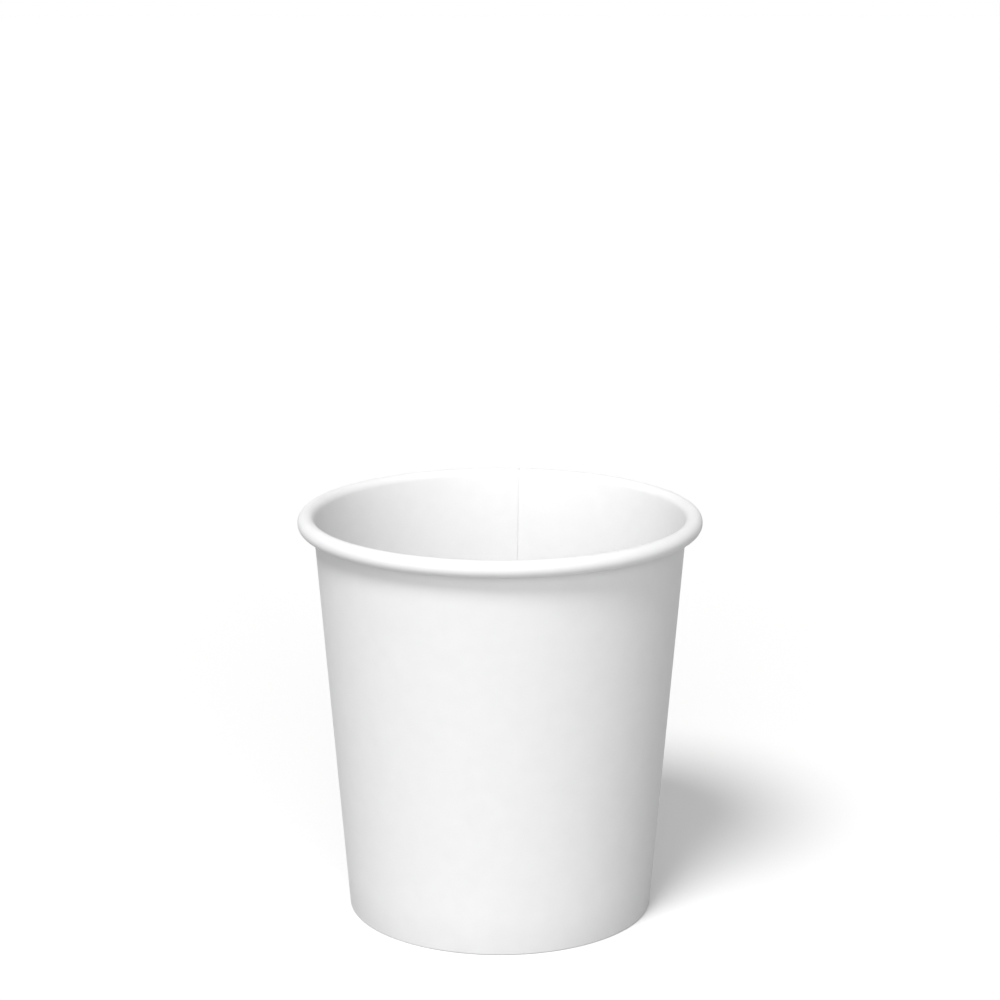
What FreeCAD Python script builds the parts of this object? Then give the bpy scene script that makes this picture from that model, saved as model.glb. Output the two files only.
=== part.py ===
import FreeCAD, Part
import math
import os
import Sketcher

# Paper sundae cup of about 12 US fluid ounces, in millimetres. It stands on z = 0 with
# its axis on Z, and its side seam is at the back, at +Y.
#
# The real cup is two pieces of coated paperboard, heat-sealed to each other:
#   side_wall  one fan-shaped blank wrapped into a cone and lapped on itself along a
#              side seam. Its top edge is curled outwards into the rolled rim, and its
#              bottom edge is folded in and up into a hem, round the skirt of the base.
#   base_disc  a round blank with its edge turned down into a skirt. The disc sits
#              above the table, and the skirt is held in the fold of the side wall.

# Name, value, and what it measures.
SIZES = [
    ("rim_diameter", 90.0, "across the outside of the rolled rim"),
    ("cup_height", 91.4, "from the table to the top of the rolled rim"),
    ("foot_diameter", 68.5, "across the outside of the wall, where its slope meets the table"),
    ("wall_board", 0.35, "thickness of the side wall's board"),
    ("base_board", 0.30, "thickness of the base's board"),
    ("roll_diameter", 3.8, "outside diameter of the rim's curl"),
    ("tuck_gap", 0.06, "between the curl's tucked end and the seam that it passes"),
    ("tuck_turn", 140.0, "degrees that the curl turns on past its lowest point"),
    ("fold_radius", 0.06, "inside radius of the fold at the foot"),
    ("base_height", 8.0, "from the table to the top of the base disc"),
    ("base_corner", 0.3, "inside radius where the disc turns down into its skirt"),
    ("skirt_lift", 0.5, "between the fold and the lower edge of the skirt"),
    ("seal_gap", 0.02, "coating between the skirt and the board on each side of it"),
    ("hem_gap", 0.8, "between the hem's top edge and the disc's corner"),
    ("lap_angle", 12.0, "degrees of the cone that the side seam's lap covers"),
    ("ramp_angle", 4.0, "degrees in which the board climbs on to its own first edge"),
    ("seam_azimuth", 84.0, "degrees from +X to the board's first edge, inside the cup"),
]

# What follows from the sizes, in the sheet's own words.
ROLL_RADIUS = "Sizes.roll_diameter / 2"
ROLL_X = "(Sizes.rim_diameter - Sizes.roll_diameter) / 2"
ROLL_Y = "Sizes.cup_height - Sizes.roll_diameter / 2"
ROLL_TO_WALL = "Sizes.roll_diameter / 2 - Sizes.wall_board"
TUCK_RADIUS = "Sizes.roll_diameter / 2 - 2 * Sizes.wall_board - Sizes.tuck_gap"
FOOT_RADIUS = "Sizes.foot_diameter / 2"
FOLD_OUTSIDE = "Sizes.fold_radius + Sizes.wall_board"
SLOT_WIDTH = "Sizes.base_board + 2 * Sizes.seal_gap"
WALL_TO_SKIRT = "Sizes.wall_board + Sizes.seal_gap"
SKIRT_FOOT = "Sizes.wall_board + Sizes.skirt_lift"
CORNER_OUTSIDE = "Sizes.base_corner + Sizes.base_board"
HEM_TOP = "Sizes.base_height - Sizes.base_board - Sizes.base_corner - Sizes.hem_gap"

# The sketcher's own numbers: 1 to 3 for an edge's points, -1 and -2 for a sketch's axes.
START, END, CENTRE = range(1, 4)
Y_AXIS, X_AXIS = range(-2, 0)
DOWN, UP = -math.pi / 2, math.pi / 2

doc = FreeCAD.newDocument("sundae_cup")
sheet = doc.addObject("Spreadsheet::Sheet", "Sizes")
for row, (alias, value, meaning) in enumerate(SIZES, start=1):
    sheet.set(f"A{row}", meaning)
    sheet.set(f"B{row}", str(value))
    sheet.setAlias(f"B{row}", alias)
doc.recompute()


def size(formula):
    """The value of a formula in the sheet's sizes."""
    value = sheet.evalExpression(formula.replace("Sizes.", ""))
    return float(getattr(value, "Value", value))


# Sections lie in a plane through the cup's axis: x is the distance from it, y the height.


def wall_lean():
    """The wall's angle from upright, from its foot to where it touches the roll's inside."""
    across = size(ROLL_X) - size(FOOT_RADIUS)
    rise = size(ROLL_Y)
    return math.acos(size(ROLL_TO_WALL) / math.hypot(across, rise)) - math.atan2(rise, across)


def by_wall(height, inwards):
    """The point at a height that lies inwards of the wall's outside face, square to it."""
    lean = wall_lean()
    return size(FOOT_RADIUS) + height * math.tan(lean) - inwards / math.cos(lean), height


def polar(centre, radius, angle):
    return centre[0] + radius * math.cos(angle), centre[1] + radius * math.sin(angle)


class Section:
    """A sketch in the upright plane at an azimuth, drawn as a closed chain of lines and arcs."""

    def __init__(self, body, name, azimuth):
        plane = [f for f in body.Origin.OriginFeatures if f.Role == "XZ_Plane"][0]
        self.sketch = body.newObject("Sketcher::SketchObject", name)
        self.sketch.AttachmentSupport = [(plane, "")]
        self.sketch.MapMode = "FlatFace"
        turn = FreeCAD.Rotation(FreeCAD.Vector(0, 1, 0), size(azimuth))
        self.sketch.AttachmentOffset = FreeCAD.Placement(FreeCAD.Vector(), turn)
        self.sketch.setExpression(".AttachmentOffset.Rotation.Angle", azimuth)

    def line(self, start, end, construction=False):
        edge = Part.LineSegment(FreeCAD.Vector(*start, 0), FreeCAD.Vector(*end, 0))
        return self.sketch.addGeometry(edge, construction)

    def arc(self, centre, radius, first, last):
        """An arc that runs counter-clockwise from its first angle to its last, in radians."""
        circle = Part.Circle(FreeCAD.Vector(*centre, 0), FreeCAD.Vector(0, 0, 1), radius)
        return self.sketch.addGeometry(Part.ArcOfCircle(circle, first, last))

    def rule(self, kind, *picks):
        self.sketch.addConstraint(Sketcher.Constraint(kind, *picks))

    def dimension(self, formula, kind, *picks):
        """A driving dimension whose value is a formula in the sheet's sizes."""
        value = size(formula)
        if kind == "Angle":
            value = math.radians(value)
            formula = f"({formula}) * 1 deg"
        index = self.sketch.addConstraint(Sketcher.Constraint(kind, *picks, value))
        self.sketch.setExpression(f"Constraints[{index}]", formula)

    def wall_line(self, roll_centre):
        """The line of the wall's outside, whose slope and place every section shares."""
        line = self.line(by_wall(0, 0), by_wall(size(ROLL_Y), 0), construction=True)
        self.dimension(ROLL_X, "DistanceX", Y_AXIS, START, *roll_centre)
        self.dimension(ROLL_Y, "DistanceY", Y_AXIS, START, *roll_centre)
        self.rule("PointOnObject", line, START, X_AXIS)
        self.dimension(FOOT_RADIUS, "DistanceX", Y_AXIS, START, line, START)
        self.dimension(ROLL_TO_WALL, "Distance", *roll_centre, line)
        self.rule("Horizontal", line, END, *roll_centre)
        return line


def board_section(body, name, azimuth, face_layer, back_layer):
    """Section of the side wall's board, from the hem's top edge down round the fold at the
    foot, up the wall and round the roll to the curl's tucked end. The face is the side that
    is inside the cup and outside the roll. A layer counts board thicknesses from the cup's
    own face: 0 to 1 is the board on the cone, 1 to 2 the board where it lies on its own
    first edge, and 0 to 2 both together. The foot is pressed to one thickness all round."""
    section = Section(body, name, azimuth)
    lean = wall_lean()
    board = size("Sizes.wall_board")
    inside = size("Sizes.fold_radius")
    outside = size(FOLD_OUTSIDE)
    hem_top = size(HEM_TOP)
    thickness = f"{back_layer - face_layer} * Sizes.wall_board"
    slot = f"{SLOT_WIDTH} + {2 * face_layer} * Sizes.wall_board"
    roll_face_radius = f"{ROLL_RADIUS} - {face_layer} * Sizes.wall_board"
    roll_back_radius = f"{ROLL_RADIUS} - {back_layer} * Sizes.wall_board"
    tuck_face_radius = f"{TUCK_RADIUS} - {face_layer} * Sizes.wall_board"
    tuck_back_radius = f"{TUCK_RADIUS} - {back_layer} * Sizes.wall_board"

    # How far in from the wall's outside the board's two sides lie, at the wall and at the hem.
    wall_face_in = (1 - face_layer) * board
    wall_back_in = (1 - back_layer) * board
    hem_face_in = wall_face_in + size(slot)
    hem_back_in = hem_face_in + size(thickness)

    wall_side, hem_side = -lean, math.pi - lean
    wall_bend = by_wall(outside, wall_face_in + inside)
    hem_bend = by_wall(outside, hem_face_in - inside)
    wall_bend_out = by_wall(outside, wall_back_in + outside)
    hem_bend_out = by_wall(outside, hem_back_in - outside)
    hem_face_top = by_wall(hem_top, hem_face_in)
    hem_back_top = polar(hem_face_top, size(thickness), hem_side)
    roll = (size(ROLL_X), size(ROLL_Y))
    tuck = (roll[0], roll[1] - size(ROLL_RADIUS) + size(TUCK_RADIUS))
    tuck_end = DOWN - math.radians(size("Sizes.tuck_turn"))

    hem_face = section.line(hem_face_top, polar(hem_bend, inside, hem_side))
    hem_bend_face = section.arc(hem_bend, inside, hem_side, DOWN + 2 * math.pi)
    floor = section.line(polar(hem_bend, inside, DOWN), polar(wall_bend, inside, DOWN))
    wall_bend_face = section.arc(wall_bend, inside, DOWN, wall_side)
    wall_face = section.line(
        polar(wall_bend, inside, wall_side), polar(roll, size(roll_face_radius), hem_side)
    )
    roll_face = section.arc(roll, size(roll_face_radius), DOWN, hem_side)
    tuck_face = section.arc(tuck, size(tuck_face_radius), tuck_end, DOWN)
    cut_edge = section.line(
        polar(tuck, size(tuck_back_radius), tuck_end), polar(tuck, size(tuck_face_radius), tuck_end)
    )
    tuck_back = section.arc(tuck, size(tuck_back_radius), tuck_end, DOWN)
    roll_back = section.arc(roll, size(roll_back_radius), DOWN, hem_side)
    wall_back = section.line(
        polar(roll, size(roll_back_radius), hem_side), polar(wall_bend_out, outside, wall_side)
    )
    wall_bend_back = section.arc(wall_bend_out, outside, DOWN, wall_side)
    land = section.line(polar(wall_bend_out, outside, DOWN), polar(hem_bend_out, outside, DOWN))
    hem_bend_back = section.arc(hem_bend_out, outside, hem_side, DOWN + 2 * math.pi)
    hem_back = section.line(polar(hem_bend_out, outside, hem_side), hem_back_top)
    hem_edge = section.line(hem_back_top, hem_face_top)

    section.rule("Tangent", hem_face, END, hem_bend_face, START)
    section.rule("Tangent", hem_bend_face, END, floor, START)
    section.rule("Tangent", floor, END, wall_bend_face, START)
    section.rule("Tangent", wall_bend_face, END, wall_face, START)
    section.rule("Tangent", wall_face, END, roll_face, END)
    section.rule("Tangent", roll_face, START, tuck_face, END)
    section.rule("Coincident", tuck_face, START, cut_edge, END)
    section.rule("Coincident", cut_edge, START, tuck_back, START)
    section.rule("Tangent", tuck_back, END, roll_back, START)
    section.rule("Tangent", roll_back, END, wall_back, START)
    section.rule("Tangent", wall_back, END, wall_bend_back, END)
    section.rule("Tangent", wall_bend_back, START, land, START)
    section.rule("Tangent", land, END, hem_bend_back, END)
    section.rule("Tangent", hem_bend_back, START, hem_back, START)
    section.rule("Coincident", hem_back, END, hem_edge, START)
    section.rule("Coincident", hem_edge, END, hem_face, START)

    wall_line = section.wall_line((roll_face, CENTRE))
    for leaning in (hem_face, wall_face, wall_back, hem_back):
        section.rule("Parallel", leaning, wall_line)
    section.rule("Perpendicular", hem_edge, wall_line)

    section.dimension(roll_face_radius, "Radius", roll_face)
    section.dimension(roll_back_radius, "Radius", roll_back)
    section.rule("Coincident", roll_back, CENTRE, roll_face, CENTRE)
    section.dimension(tuck_face_radius, "Radius", tuck_face)
    section.rule("Vertical", tuck_face, CENTRE, roll_face, CENTRE)
    section.rule("Coincident", tuck_back, CENTRE, tuck_face, CENTRE)
    section.rule("PointOnObject", tuck_face, CENTRE, cut_edge)
    section.dimension("270 - Sizes.tuck_turn", "Angle", cut_edge)

    for bend in (hem_bend_face, wall_bend_face):
        section.dimension("Sizes.fold_radius", "Radius", bend)
    for bend in (hem_bend_back, wall_bend_back):
        section.dimension(FOLD_OUTSIDE, "Radius", bend)
    section.rule("Horizontal", floor)
    section.dimension("Sizes.wall_board", "DistanceY", Y_AXIS, START, floor, START)
    section.rule("Horizontal", land)
    section.rule("PointOnObject", land, START, X_AXIS)
    section.dimension(slot, "Distance", hem_face, START, wall_face)
    section.dimension(HEM_TOP, "DistanceY", Y_AXIS, START, hem_face, START)
    section.dimension(thickness, "Distance", hem_edge, START, hem_edge, END)
    return section.sketch


def base_section(body):
    """Half section of the base: a flat disc with its edge turned down into a leaning skirt."""
    section = Section(body, "base_section", "0")
    lean = wall_lean()
    board = size("Sizes.base_board")
    top = size("Sizes.base_height")
    inside = size("Sizes.base_corner")
    outside = size(CORNER_OUTSIDE)
    corner = by_wall(top - outside, size(WALL_TO_SKIRT) + outside)
    skirt_edge_out = by_wall(size(SKIRT_FOOT), size(WALL_TO_SKIRT))
    skirt_edge_in = polar(skirt_edge_out, board, math.pi - lean)

    disc_top = section.line((0, top), polar(corner, outside, UP))
    corner_out = section.arc(corner, outside, -lean, UP)
    skirt_out = section.line(polar(corner, outside, -lean), skirt_edge_out)
    skirt_edge = section.line(skirt_edge_out, skirt_edge_in)
    skirt_in = section.line(skirt_edge_in, polar(corner, inside, -lean))
    corner_in = section.arc(corner, inside, -lean, UP)
    disc_under = section.line(polar(corner, inside, UP), (0, top - board))
    middle = section.line((0, top - board), (0, top))

    section.rule("Tangent", disc_top, END, corner_out, END)
    section.rule("Tangent", corner_out, START, skirt_out, START)
    section.rule("Coincident", skirt_out, END, skirt_edge, START)
    section.rule("Coincident", skirt_edge, END, skirt_in, START)
    section.rule("Tangent", skirt_in, END, corner_in, START)
    section.rule("Tangent", corner_in, END, disc_under, START)
    section.rule("Coincident", disc_under, END, middle, START)
    section.rule("Coincident", middle, END, disc_top, START)

    roll_centre = section.sketch.addGeometry(
        Part.Point(FreeCAD.Vector(size(ROLL_X), size(ROLL_Y), 0)), True
    )
    wall_line = section.wall_line((roll_centre, START))
    section.rule("Parallel", skirt_out, wall_line)
    section.rule("Parallel", skirt_in, wall_line)
    section.rule("Perpendicular", skirt_edge, wall_line)
    section.dimension(WALL_TO_SKIRT, "Distance", skirt_out, START, wall_line)
    section.dimension(SKIRT_FOOT, "DistanceY", Y_AXIS, START, skirt_edge, START)

    section.rule("Coincident", corner_in, CENTRE, corner_out, CENTRE)
    section.dimension("Sizes.base_corner", "Radius", corner_in)
    section.dimension(CORNER_OUTSIDE, "Radius", corner_out)
    section.rule("Horizontal", disc_top)
    section.rule("Horizontal", disc_under)
    section.rule("PointOnObject", middle, START, Y_AXIS)
    section.rule("PointOnObject", middle, END, Y_AXIS)
    section.dimension("Sizes.base_height", "DistanceY", Y_AXIS, START, middle, END)
    return section.sketch


def revolve(body, name, sketch, angle, backwards=False):
    """Turns a section about the cup's axis, from its own azimuth."""
    turned = body.newObject("PartDesign::Revolution", name)
    turned.Profile = sketch
    turned.ReferenceAxis = (sketch, ["V_Axis"])
    turned.Reversed = backwards
    turned.setExpression("Angle", f"({angle}) * 1 deg")


def new_body(name):
    body = doc.addObject("PartDesign::Body", name)
    body.Label = name
    return body


# Side wall: the board round the cone from the ramp back to the lap, both thicknesses of
# the lap, and the ramp between them on which the board climbs on to its own first edge.
side_wall = new_body("side_wall")
RAMP_START = "Sizes.seam_azimuth - Sizes.ramp_angle"
cone_section = board_section(side_wall, "cone_section", RAMP_START, 0, 1)
revolve(
    side_wall, "cone", cone_section, "360 - Sizes.ramp_angle - Sizes.lap_angle", backwards=True
)
lap_section = board_section(side_wall, "lap_section", "Sizes.seam_azimuth", 0, 2)
revolve(side_wall, "seam_lap", lap_section, "Sizes.lap_angle")
ramp_section = board_section(side_wall, "ramp_section", "Sizes.seam_azimuth", 1, 2)
ramp = side_wall.newObject("PartDesign::AdditiveLoft", "seam_ramp")
ramp.Profile = cone_section
ramp.Sections = [ramp_section]
ramp.Ruled = True
side_wall.Tip = ramp

# Base: one turned profile.
base_disc = new_body("base_disc")
revolve(base_disc, "disc_and_skirt", base_section(base_disc), "360")

doc.recompute()


def faults():
    """What failed to build, in words."""
    for item in doc.Objects:
        if "Invalid" in item.State or "Error" in item.State:
            yield f"{item.Name}: {item.State}"
        if item.TypeId == "Sketcher::SketchObject" and not item.FullyConstrained:
            yield f"{item.Name}: not fully constrained"
    for body in (side_wall, base_disc):
        shape = body.Shape
        if shape.isNull() or not shape.isValid() or len(shape.Solids) != 1:
            yield f"{body.Label}: not one valid solid"


found = list(faults())
if found:
    raise RuntimeError("; ".join(found))

os.makedirs("parts", exist_ok=True)
for body in (side_wall, base_disc):
    body.Shape.exportStep(f"parts/{body.Label}.step")
    print(f"{body.Label}: {body.Shape.Volume:.1f} mm3, {len(body.Shape.Faces)} faces")
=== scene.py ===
import bpy
import math
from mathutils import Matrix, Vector


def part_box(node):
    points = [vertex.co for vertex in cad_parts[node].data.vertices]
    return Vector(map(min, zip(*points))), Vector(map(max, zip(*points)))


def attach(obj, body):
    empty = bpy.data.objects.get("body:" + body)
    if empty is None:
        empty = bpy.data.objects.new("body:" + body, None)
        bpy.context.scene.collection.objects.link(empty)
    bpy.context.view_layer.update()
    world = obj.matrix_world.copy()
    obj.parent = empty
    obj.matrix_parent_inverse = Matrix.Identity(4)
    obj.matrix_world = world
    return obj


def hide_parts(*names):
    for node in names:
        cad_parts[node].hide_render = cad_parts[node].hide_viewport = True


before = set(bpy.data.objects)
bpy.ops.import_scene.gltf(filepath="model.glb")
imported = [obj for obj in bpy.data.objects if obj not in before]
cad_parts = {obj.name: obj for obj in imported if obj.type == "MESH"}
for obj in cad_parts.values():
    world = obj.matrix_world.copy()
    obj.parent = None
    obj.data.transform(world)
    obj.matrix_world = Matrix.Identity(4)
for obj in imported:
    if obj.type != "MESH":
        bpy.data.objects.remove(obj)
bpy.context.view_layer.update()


# Side wall.
# The real one is a fan-shaped blank of bleached paperboard, coated with film on both sides.
# It is wrapped into a cone and heat-sealed along a lap at the back. Its top edge is curled
# outwards into the rim, and its bottom edge is folded in and up, and knurled to press it tight.
MM = 0.001
RIM_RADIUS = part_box("side_wall")[1].x
CUP_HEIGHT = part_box("side_wall")[1].z
FOOT_RADIUS = 34.25 * MM
WALL_BOARD = 0.35 * MM
BASE_BOARD = 0.30 * MM
SEAL_GAP = 0.02 * MM
ROLL_RADIUS = 1.9 * MM
TUCK_GAP = 0.06 * MM
TUCK_TURN = math.radians(140)
FOLD_RADIUS = 0.06 * MM
HEM_TOP = 6.6 * MM
SEAM_AZIMUTH = math.radians(84)
LAP_ANGLE = math.radians(12)
RAMP_ANGLE = math.radians(4)
KNURL_LOW = 1.4 * MM
KNURL_HIGH = 5.4 * MM
RIDGE_HEIGHT = 0.16 * MM
STEPS_PER_TURN = 480
STEPS_PER_RIDGE = 4
HEM_RUNS = 9
FOLD_STEPS = 3
WALL_RUNS = 10
ROLL_STEPS = 26
TUCK_STEPS = 10
BACK_SLOT = 1
EDGE_SLOT = 2
SHARP_EDGE = math.radians(40)
FULL_TURN = 2 * math.pi
UP = math.pi / 2
DOWN = -UP

# The wall leans from its foot to where it touches the inside of the roll.
roll_centre = Vector((RIM_RADIUS - ROLL_RADIUS, 0, CUP_HEIGHT - ROLL_RADIUS))
foot_to_roll = roll_centre - Vector((FOOT_RADIUS, 0, 0))
lean = math.acos((ROLL_RADIUS - WALL_BOARD) / foot_to_roll.length) - math.atan2(
    foot_to_roll.z, foot_to_roll.x
)


def by_wall(height, inwards):
    """The point of a section at a height, and a distance in from the wall's outside face."""
    x = FOOT_RADIUS + height * math.tan(lean) - inwards / math.cos(lean)
    return Vector((x, 0, height))


def polar(centre, radius, angle):
    """The point of a section at a distance and an angle from a centre."""
    return centre + radius * Vector((math.cos(angle), 0, math.sin(angle)))


def start_section(name, place):
    """A new piece that is one selected vertex, in edit mode, where its section starts."""
    bpy.ops.object.select_all(action="DESELECT")
    bpy.ops.mesh.primitive_plane_add(size=MM, enter_editmode=True)
    bpy.context.object.name = name
    bpy.ops.mesh.merge(type="CENTER")
    bpy.ops.transform.translate(value=place)
    return bpy.context.object


def draw_straight(start, end, runs=1):
    """Extrudes the section's end vertex along a straight line, in equal runs."""
    for _ in range(runs):
        bpy.ops.mesh.extrude_vertices_move(TRANSFORM_OT_translate={"value": (end - start) / runs})


def draw_bend(centre, first, last, steps):
    """Spins the section's end vertex round a centre, from one angle to another."""
    bpy.ops.mesh.spin(steps=steps, angle=last - first, center=centre, axis=(0, 1, 0))


def wrap(piece, angle, steps):
    """Turns the drawn section about the cup's axis, as a screw with no pitch."""
    screw = piece.modifiers.new("wrap", "SCREW")
    screw.angle = angle
    screw.steps = screw.render_steps = steps
    bpy.ops.object.modifier_apply(modifier=screw.name)


def push_skin(piece, name, distance, weight_of):
    """Moves a skin along its normals by a distance, times a weight given for each vertex."""
    group = piece.vertex_groups.new(name=name)
    for vertex in piece.data.vertices:
        group.add([vertex.index], weight_of(vertex), "REPLACE")
    push = piece.modifiers.new(name, "DISPLACE")
    push.strength = distance
    push.mid_level = 0
    push.vertex_group = name
    bpy.ops.object.modifier_apply(modifier=push.name)


def press_up(piece, level):
    """Presses all that lies below a level up to it."""
    bpy.ops.object.mode_set(mode="EDIT")
    bpy.ops.mesh.select_all(action="DESELECT")
    bpy.ops.object.mode_set(mode="OBJECT")
    for vertex in piece.data.vertices:
        vertex.select = vertex.co.z < level
    bpy.ops.object.mode_set(mode="EDIT")
    bpy.ops.transform.resize(value=(1, 1, 0), center_override=(0, 0, level))
    bpy.ops.object.mode_set(mode="OBJECT")


def thicken(piece, thickness):
    """Gives a skin the thickness of its board, away from the side that its normals point to."""
    board = piece.modifiers.new("board", "SOLIDIFY")
    board.thickness = thickness
    board.offset = -1
    board.use_even_offset = True
    board.material_offset = BACK_SLOT
    board.material_offset_rim = EDGE_SLOT
    bpy.ops.object.modifier_apply(modifier=board.name)


slot_width = BASE_BOARD + 2 * SEAL_GAP
hem_face = WALL_BOARD + slot_width
fold_height = WALL_BOARD + FOLD_RADIUS
hem_side = math.pi - lean
hem_bend = by_wall(fold_height, hem_face - FOLD_RADIUS)
wall_bend = by_wall(fold_height, WALL_BOARD + FOLD_RADIUS)
tuck_radius = ROLL_RADIUS - 2 * WALL_BOARD - TUCK_GAP
tuck_centre = roll_centre - Vector((0, 0, ROLL_RADIUS - tuck_radius))

# The section follows the face that is inside the cup: down the hem, round the fold, up the
# wall, over the outside of the roll, and in to the tucked end of the curl.
hem_top = by_wall(HEM_TOP, hem_face)
hem_foot = polar(hem_bend, FOLD_RADIUS, hem_side)
wall_foot = polar(wall_bend, FOLD_RADIUS, -lean)
wall_top = polar(roll_centre, ROLL_RADIUS, hem_side)
cup_wall = start_section("cup_wall", hem_top)
draw_straight(hem_top, hem_foot, HEM_RUNS)
draw_bend(hem_bend, hem_side, FULL_TURN + DOWN, FOLD_STEPS)
draw_straight(polar(hem_bend, FOLD_RADIUS, DOWN), polar(wall_bend, FOLD_RADIUS, DOWN))
draw_bend(wall_bend, DOWN, -lean, FOLD_STEPS)
draw_straight(wall_foot, wall_top, WALL_RUNS)
draw_bend(roll_centre, hem_side, DOWN, ROLL_STEPS)
draw_bend(tuck_centre, DOWN, DOWN - TUCK_TURN, TUCK_STEPS)
bpy.ops.object.mode_set(mode="OBJECT")
section_points = len(cup_wall.data.vertices)
step_angle = FULL_TURN / STEPS_PER_TURN
wrap(cup_wall, FULL_TURN + LAP_ANGLE, STEPS_PER_TURN + round(LAP_ANGLE / step_angle))


def steps_round(vertex):
    """How many steps of the wrap a vertex has come, as each step adds one whole section."""
    return vertex.index // section_points


def climb(vertex):
    """0 on the cone and 1 on the lap, where the board lies on its own first edge."""
    turned = steps_round(vertex) * step_angle
    return min(max((turned - FULL_TURN) / RAMP_ANGLE + 1, 0), 1)


def ridge(vertex):
    """The height of the knurl's ridges, which only the folded hem has, from 0 to 1."""
    on_hem = vertex.co.xy.length < by_wall(vertex.co.z, WALL_BOARD + slot_width / 2).x
    if not on_hem or not KNURL_LOW < vertex.co.z < KNURL_HIGH:
        return 0
    return 0.5 - 0.5 * math.cos(FULL_TURN * steps_round(vertex) / STEPS_PER_RIDGE)


push_skin(cup_wall, "knurl", -RIDGE_HEIGHT, ridge)
push_skin(cup_wall, "seam", -WALL_BOARD, climb)

# The press at the foot flattens the lap's fold to the level of the rest.
press_up(cup_wall, WALL_BOARD)
cup_wall.rotation_euler.z = SEAM_AZIMUTH
bpy.ops.object.transform_apply(rotation=True)
thicken(cup_wall, WALL_BOARD)
press_up(cup_wall, 0)
bpy.ops.object.shade_smooth_by_angle(angle=SHARP_EDGE)


# Film-coated paperboard, of bleached pulp: a nearly matt white, with faint clouds where the
# pulp is thicker, and a fine grain. The film is a little smoother inside the cup, and its
# highlights are weak on both sides. The cut edge has no film, so it is creamier and rougher.
# Real fibres are about 0.03 mm wide. They are drawn some ten times as coarse, so that they
# show, and longer up the cup than round it.
PULP_LIGHT = "F5F5F5"
PULP_DARK = "F0F0F0"
RAW_LIGHT = "EFEDE7"
RAW_DARK = "DEDBD2"
CLOUD_SIZE = 4.0 * MM
CLOUD_DEPTH = 0.010 * MM
CLOUD_DETAIL = 3.0
FIBRE_WIDTH = 0.35 * MM
FIBRE_STRETCH = 0.35
FIBRE_DETAIL = 4.0
FIBRE_ROUGHNESS = 0.6
GRAIN_DEPTH = 0.004 * MM
FILM_IOR = 1.5
FILM_GLOSS = 0.12


def colour(hex_code):
    """An sRGB hex value as linear red, green, blue and alpha."""
    parts = [int(hex_code[i : i + 2], 16) / 255 for i in (0, 2, 4)]
    return [p / 12.92 if p <= 0.04045 else ((p + 0.055) / 1.055) ** 2.4 for p in parts] + [1.0]


def add_node(tree, kind, settings=(), **inputs):
    """Adds a node with its settings. An input is a value, or the output of another node.

    Inputs go by name, or as _0, _6 and so on by their place, where several share a name.
    """
    node = tree.nodes.new(kind)
    for name, value in dict(settings).items():
        setattr(node, name, value)
    for name, value in inputs.items():
        by_place = name.startswith("_")
        socket = node.inputs[int(name[1:]) if by_place else name.replace("_", " ")]
        if isinstance(value, bpy.types.NodeSocket):
            tree.links.new(value, socket)
        else:
            socket.default_value = value
    return node


def new_material(name):
    """A material with an empty node tree, and the tree."""
    material = bpy.data.materials.new(name)
    material.use_nodes = True
    material.node_tree.nodes.clear()
    return material, material.node_tree


def paperboard(name, light, dark, roughness, spread):
    """Board with clouds of pulp in two tones, and a fibre grain that varies its roughness."""
    material, tree = new_material(name)
    place = add_node(tree, "ShaderNodeTexCoord").outputs["Object"]
    along = add_node(tree, "ShaderNodeMapping", Vector=place, Scale=(1, 1, FIBRE_STRETCH))
    clouds = add_node(
        tree, "ShaderNodeTexNoise", Vector=place, Scale=1 / CLOUD_SIZE, Detail=CLOUD_DETAIL
    )
    fibres = add_node(
        tree,
        "ShaderNodeTexNoise",
        Vector=along.outputs["Vector"],
        Scale=1 / FIBRE_WIDTH,
        Detail=FIBRE_DETAIL,
        Roughness=FIBRE_ROUGHNESS,
    )
    tone = add_node(
        tree,
        "ShaderNodeMix",
        {"data_type": "RGBA"},
        _0=clouds.outputs["Fac"],
        _6=colour(dark),
        _7=colour(light),
    )
    gloss = add_node(
        tree,
        "ShaderNodeMapRange",
        Value=fibres.outputs["Fac"],
        To_Min=roughness - spread,
        To_Max=roughness + spread,
    )
    swell = add_node(
        tree, "ShaderNodeBump", Height=clouds.outputs["Fac"], Distance=CLOUD_DEPTH, Strength=1.0
    )
    grain = add_node(
        tree,
        "ShaderNodeBump",
        Height=fibres.outputs["Fac"],
        Distance=GRAIN_DEPTH,
        Strength=1.0,
        Normal=swell.outputs["Normal"],
    )
    board = add_node(
        tree,
        "ShaderNodeBsdfPrincipled",
        Base_Color=tone.outputs[2],
        Roughness=gloss.outputs["Result"],
        IOR=FILM_IOR,
        Specular_IOR_Level=FILM_GLOSS,
        Normal=grain.outputs["Normal"],
    )
    add_node(tree, "ShaderNodeOutputMaterial", Surface=board.outputs["BSDF"])
    return material


board_materials = (
    paperboard("film_coated_board_inside", PULP_LIGHT, PULP_DARK, roughness=0.55, spread=0.05),
    paperboard("film_coated_board_outside", PULP_LIGHT, PULP_DARK, roughness=0.65, spread=0.05),
    paperboard("cut_board_edge", RAW_LIGHT, RAW_DARK, roughness=0.9, spread=0.08),
)
for material in board_materials:
    cup_wall.data.materials.append(material)
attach(cup_wall, "root")
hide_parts("side_wall")


# Base.
# The real one is a round blank of thinner board, drawn so that its edge turns down into a
# skirt. The skirt is heat-sealed between the wall and the hem, and the disc clears the table.
BASE_HEIGHT = 8.0 * MM
BASE_CORNER = 0.3 * MM
SKIRT_LIFT = 0.5 * MM
SKIRT_RUNS = 4
CORNER_STEPS = 6
DISC_RUNS = 16
BASE_STEPS = STEPS_PER_TURN // 2
SAME_POINT = 0.001 * MM

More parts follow.
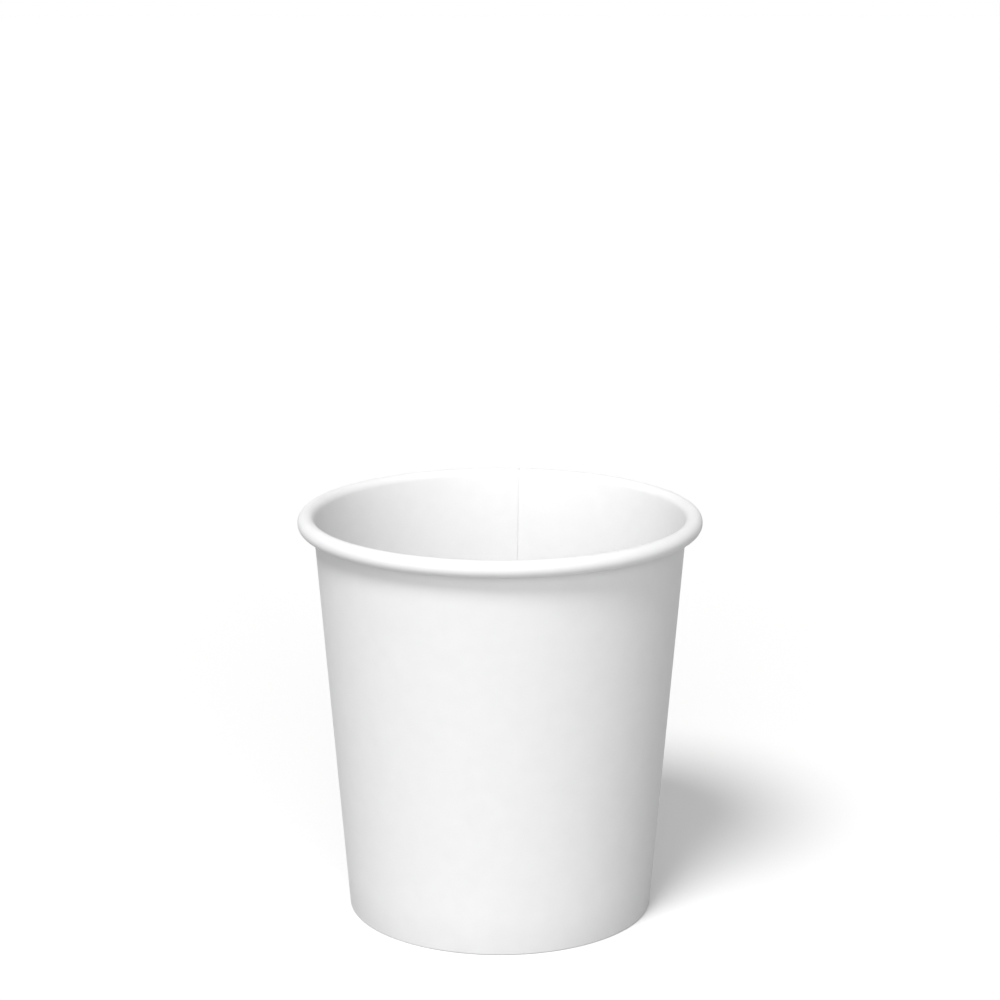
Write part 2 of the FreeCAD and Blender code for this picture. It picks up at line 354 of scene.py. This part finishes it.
skirt_in_from_wall = WALL_BOARD + SEAL_GAP
corner_radius = BASE_CORNER + BASE_BOARD
corner_centre = by_wall(BASE_HEIGHT - corner_radius, skirt_in_from_wall + corner_radius)
disc_middle = Vector((0, 0, BASE_HEIGHT))
disc_edge = polar(corner_centre, corner_radius, UP)
skirt_top = polar(corner_centre, corner_radius, -lean)
skirt_foot = by_wall(WALL_BOARD + SKIRT_LIFT, skirt_in_from_wall)
cup_base = start_section("cup_base", skirt_foot)
draw_straight(skirt_foot, skirt_top, SKIRT_RUNS)
draw_bend(corner_centre, -lean, UP, CORNER_STEPS)
draw_straight(disc_edge, disc_middle, DISC_RUNS)
bpy.ops.object.mode_set(mode="OBJECT")
wrap(cup_base, FULL_TURN, BASE_STEPS)
bpy.ops.object.mode_set(mode="EDIT")
bpy.ops.mesh.select_all(action="SELECT")
bpy.ops.mesh.remove_doubles(threshold=SAME_POINT)
bpy.ops.mesh.normals_make_consistent(inside=False)
bpy.ops.object.mode_set(mode="OBJECT")
thicken(cup_base, BASE_BOARD)
bpy.ops.object.shade_smooth_by_angle(angle=SHARP_EDGE)
for material in board_materials:
    cup_base.data.materials.append(material)
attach(cup_base, "root")
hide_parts("base_disc")


# Studio.
# A seamless white floor that keeps only the cup's shadow, a white surround, a soft key lamp
# high at the front left, a broad weak fill low in front, and a little even light from the room.
FLOOR_SIZE = 6.0
FLOOR_WHITE = "F4F4F4"
FLOOR_BOUNCE = "A4A4A4"
FLOOR_LIFT = 0.12
ROOM_WHITE = "FFFFFF"
ROOM_LIGHT = 0.32
ROOM_SHOWN = 1.0
CAMERA_PLACE = (0, -0.6083, 0.2403)
CAMERA_PITCH = math.radians(13.53)
CAMERA_LENS = 101.4


def seen_directly(tree):
    """1 for rays from the camera, in a mirror or through glass, and 0 for light's own rays."""
    path = add_node(tree, "ShaderNodeLightPath").outputs
    seen = path["Is Camera Ray"]
    for ray in ("Is Glossy Ray", "Is Transmission Ray"):
        either = add_node(tree, "ShaderNodeMath", {"operation": "MAXIMUM"}, _0=seen, _1=path[ray])
        seen = either.outputs[0]
    return seen


bpy.ops.object.select_all(action="DESELECT")
bpy.ops.mesh.primitive_plane_add(size=FLOOR_SIZE)
floor = bpy.context.object
floor.name = "studio_floor"

# Matt white paint, even and without gloss. The camera sees it as white, and it sends less
# light back on to the cup than it shows.
sweep, sweep_tree = new_material("matt_white_sweep")
seen = seen_directly(sweep_tree)
tone = add_node(
    sweep_tree,
    "ShaderNodeMix",
    {"data_type": "RGBA"},
    _0=seen,
    _6=colour(FLOOR_BOUNCE),
    _7=colour(FLOOR_WHITE),
)
paint = add_node(sweep_tree, "ShaderNodeBsdfDiffuse", Color=tone.outputs[2])
lift = add_node(sweep_tree, "ShaderNodeMath", {"operation": "MULTIPLY"}, _0=seen, _1=FLOOR_LIFT)
glow = add_node(sweep_tree, "ShaderNodeEmission", Strength=lift.outputs[0])
both = add_node(sweep_tree, "ShaderNodeAddShader", _0=paint.outputs[0], _1=glow.outputs[0])
add_node(sweep_tree, "ShaderNodeOutputMaterial", Surface=both.outputs[0])
floor.data.materials.append(sweep)

room = bpy.data.worlds.new("studio_room")
bpy.context.scene.world = room
room.use_nodes = True
room_tree = room.node_tree
room_tree.nodes.clear()
white = colour(ROOM_WHITE)
fill = add_node(room_tree, "ShaderNodeBackground", Color=white, Strength=ROOM_LIGHT)
surround = add_node(room_tree, "ShaderNodeBackground", Color=white, Strength=ROOM_SHOWN)
shown = add_node(
    room_tree,
    "ShaderNodeMixShader",
    _0=seen_directly(room_tree),
    _1=fill.outputs[0],
    _2=surround.outputs[0],
)
add_node(room_tree, "ShaderNodeOutputWorld", Surface=shown.outputs[0])


def add_lamp(name, azimuth, elevation, spread, strength):
    """A lamp far off. Its azimuth is counted from the camera's side, positive to the right."""
    light = bpy.data.lights.new(name, "SUN")
    light.energy = strength
    light.angle = math.radians(spread)
    lamp = bpy.data.objects.new(name, light)
    bpy.context.scene.collection.objects.link(lamp)
    lamp.rotation_euler = (math.radians(90 - elevation), 0, math.radians(azimuth))


add_lamp("soft_key", azimuth=-24, elevation=54, spread=20, strength=2.18)
add_lamp("front_fill", azimuth=0, elevation=14, spread=50, strength=1.27)

camera = bpy.data.cameras.new("camera")
camera.lens = CAMERA_LENS
camera_stand = bpy.data.objects.new("camera", camera)
bpy.context.scene.collection.objects.link(camera_stand)
camera_stand.location = CAMERA_PLACE
camera_stand.rotation_euler.x = math.pi / 2 - CAMERA_PITCH
bpy.context.scene.camera = camera_stand
bpy.context.scene.view_settings.view_transform = "Standard"
